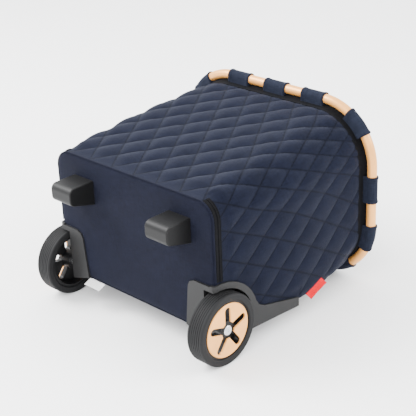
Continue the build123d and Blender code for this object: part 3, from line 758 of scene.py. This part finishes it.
class TROLLEY_OT_loops(bpy.types.Operator):
    """Folded cloth loops that hang the bag on its frame"""

    bl_idname = "trolley.loops"
    bl_label = "Frame loops"

    def execute(self, context):
        # closed outline of one loop: outward and along the trolley, with a sewn tail
        inner = TUBE_R + 0.0002
        thick = 0.0013
        tail_x = MOUTH_X + 0.0016 - RING_X
        outer_line = []
        for k in range(37):
            angle = math.radians(-84 + 262 * k / 36)
            outer_line.append((math.cos(angle), math.sin(angle), 1.0))
        length = 0.0455
        slices = [-1.0, -0.985, -0.93, -0.86, -0.80, -0.4, 0.0, 0.4, 0.80, 0.86, 0.93, 0.985, 1.0]
        lift = [0.0, 0.0007, 0.0011, 0.0009, 0.0002, 0.0, 0.0001, 0.0, 0.0002, 0.0009, 0.0011, 0.0007, 0.0]
        verts, cloth, faces = [], [], []
        for spot, out, centre in loop_frames():
            first = len(verts)
            for t, rise in zip(slices, lift):
                radius = inner + thick + rise
                ring = [(c * radius, d * radius) for c, d, _ in outer_line]
                ring.append((-0.0158 - rise * 0.3, tail_x * 0.45))
                ring.append((-0.0162 - rise * 0.5, tail_x))
                ring.append((-0.0112 + rise * 0.5, tail_x))
                ring.append((-0.0062 + rise * 0.3, -radius * 0.98))
                for u, v in ring:
                    if centre is None:
                        along = Vector((0, out.z, -out.y))
                        point = spot + out * u + Vector((v, 0, 0)) + along * (t * length / 2)
                    else:
                        turn = t * length / 2 / RING_CORNER
                        around = Matrix.Rotation(-turn, 3, "X") @ out
                        point = centre + around * (RING_CORNER + u) + Vector((v, 0, 0))
                    verts.append(point)
                    cloth.append((t * length / 2 + first, math.atan2(v, u) * radius))
            n = len(outer_line) + 4
            for j in range(len(slices) - 1):
                a, b = first + j * n, first + (j + 1) * n
                for k in range(n):
                    m = (k + 1) % n
                    faces.append((a + k, a + m, b + m, b + k))
            faces.append(tuple(first + k for k in reversed(range(n))))
            faces.append(tuple(first + (len(slices) - 1) * n + k for k in range(n)))
        loops = mesh_object("cloth_loops", verts, faces, {"cloth": cloth})
        turn_faces_outwards(loops)
        finish_piece(loops, "loop_fabric", ("frame_loops",), smooth=50.0)
        return {"FINISHED"}


class TROLLEY_OT_sleeve(bpy.types.Operator):
    """Cloth sleeve in the bag in front of the handle tubes"""

    bl_idname = "trolley.sleeve"
    bl_label = "Handle sleeve"

    def execute(self, context):
        low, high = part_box("handle_sleeve")
        section = [(-high.y, low.z + 0.001), (-high.y + 0.010, high.z - 0.003)]
        section += [(-high.y + 0.022, high.z - 0.0005)]
        section += [(-0.06, high.z - 0.001), (0.0, high.z - 0.0014), (0.06, high.z - 0.001)]
        section += [(high.y - 0.022, high.z - 0.0005), (high.y - 0.010, high.z - 0.003)]
        section += [(high.y, low.z + 0.001)]
        rows = 24
        verts, cloth, faces = [], [], []
        for j in range(rows):
            x = low.x + (high.x - low.x) * j / (rows - 1)
            ripple = 0.0006 * math.sin(j * 0.9) * math.sin(math.pi * j / (rows - 1))
            for k, (y, z) in enumerate(section):
                verts.append((x, y, z + ripple * math.cos(k * 1.3) - 0.0008))
                cloth.append((x, y + z))
        n = len(section)
        for j in range(rows - 1):
            for k in range(n - 1):
                a = j * n + k
                faces.append((a, a + n, a + n + 1, a + 1))
        sleeve = mesh_object("tube_sleeve", verts, faces, {"cloth": cloth})
        apply_modifier(sleeve, "SUBSURF", "soften", levels=2, render_levels=2)
        apply_modifier(sleeve, "SOLIDIFY", "cloth", thickness=0.0012, offset=1.0)
        finish_piece(sleeve, "lining_fabric", ("handle_sleeve",))
        return {"FINISHED"}


def folded_tab(name, corner, long_edge, short_edge, thickness, slot, replaced, sag=0.0):
    """Folded tape tab: a flat loop of cloth sewn in a seam by its first long edge."""
    normal = long_edge.cross(short_edge).normalized()
    columns, around = 12, []
    for k in range(9):
        around.append((k / 8, 0.5))
    for k in range(1, 6):
        angle = math.pi / 2 - math.pi * k / 6
        around.append((1.0 + 0.02 * math.cos(angle), 0.5 * math.sin(angle)))
    for k in range(9):
        around.append((1 - k / 8, -0.5))
    verts, cloth, faces = [], [], []
    for j in range(columns + 1):
        t = j / columns
        for u, side in around:
            wave_lift = sag * math.sin(math.pi * t) * u
            point = corner + long_edge * t + short_edge * u + normal * (side * thickness + wave_lift)
            verts.append(point)
            cloth.append((t * long_edge.length, (u + side) * short_edge.length))
    n = len(around)
    for j in range(columns):
        for k in range(n):
            m = (k + 1) % n
            a, b = j * n, (j + 1) * n
            faces.append((a + k, b + k, b + m, a + m))
    faces.append(tuple(range(n)))
    faces.append(tuple(reversed(range(columns * n, (columns + 1) * n))))
    tab = mesh_object(name, verts, faces, {"cloth": cloth})
    turn_faces_outwards(tab)
    return finish_piece(tab, slot, replaced)


class TROLLEY_OT_labels(bpy.types.Operator):
    """Blank red side tag and blank pale label"""

    bl_idname = "trolley.labels"
    bl_label = "Tag and label"

    def execute(self, context):
        low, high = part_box("side_tag")
        folded_tab(
            "red_tag",
            Vector((low.x - 0.0015, high.y + 0.0026, low.z + 0.0130)),
            Vector((0.0362, -0.0018, 0.0152)),
            Vector((0.0095, -0.0030, -0.0119)),
            0.0011,
            "tag_fabric",
            ("side_tag",),
            0.0006,
        )
        low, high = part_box("care_label")
        folded_tab(
            "pale_label",
            Vector((high.x - 0.001, low.y, high.z - 0.0035)),
            Vector((0.0, high.y - low.y, 0.0)),
            Vector((low.x - high.x + 0.001, 0.0, -0.0058)),
            0.0009,
            "label_fabric",
            ("care_label",),
            0.0008,
        )
        return {"FINISHED"}


class TROLLEY_OT_hard_parts(bpy.types.Operator):
    """Finishes for the tubes, mouldings, wheels and fittings"""

    bl_idname = "trolley.hard_parts"
    bl_label = "Hard parts"

    def execute(self, context):
        slots = {row["node"]: row["material_slot"] for row in frame["record"]["subparts"]}
        for name, item in NODES.items():
            item.data.materials.clear()
            item.data.materials.append(MATERIALS[slots[name]])
        return {"FINISHED"}


class TROLLEY_PT_sidebar(bpy.types.Panel):
    """Sidebar that lists every piece"""

    bl_idname = "TROLLEY_PT_sidebar"
    bl_label = "Quilted trolley"
    bl_space_type = "VIEW_3D"
    bl_region_type = "UI"
    bl_category = "Trolley"

    def draw(self, context):
        layout = self.layout
        for name in ("puff", "cell", "wall", "columns", "rows"):
            layout.prop(context.scene.trolley_shape, name)
        for name in ("quilt", "plain", "gold", "moulding", "tag"):
            layout.prop(context.scene.trolley_colours, name)
        for operator in OPERATORS:
            layout.operator(operator.bl_idname)


OPERATORS = (
    TROLLEY_OT_hard_parts,
    TROLLEY_OT_stage,
    TROLLEY_OT_bag,
    TROLLEY_OT_mouth_tape,
    TROLLEY_OT_base,
    TROLLEY_OT_edge,
    TROLLEY_OT_loops,
    TROLLEY_OT_sleeve,
    TROLLEY_OT_labels,
)
CLASSES = (TrolleyShape, TrolleyColours, *OPERATORS, TROLLEY_PT_sidebar)


def register():
    for cls in CLASSES:
        bpy.utils.register_class(cls)
    bpy.types.Scene.trolley_shape = bpy.props.PointerProperty(type=TrolleyShape)
    bpy.types.Scene.trolley_colours = bpy.props.PointerProperty(type=TrolleyColours)


def unregister():
    del bpy.types.Scene.trolley_colours
    del bpy.types.Scene.trolley_shape
    for cls in reversed(CLASSES):
        bpy.utils.unregister_class(cls)


def main():
    register()
    make_materials()
    bpy.ops.trolley.hard_parts()
    bpy.ops.trolley.stage()
    bpy.ops.trolley.bag()
    bpy.ops.trolley.mouth_tape()
    bpy.ops.trolley.base()
    bpy.ops.trolley.edge()
    bpy.ops.trolley.loops()
    bpy.ops.trolley.sleeve()
    bpy.ops.trolley.labels()


if __name__ == "__main__":
    main()
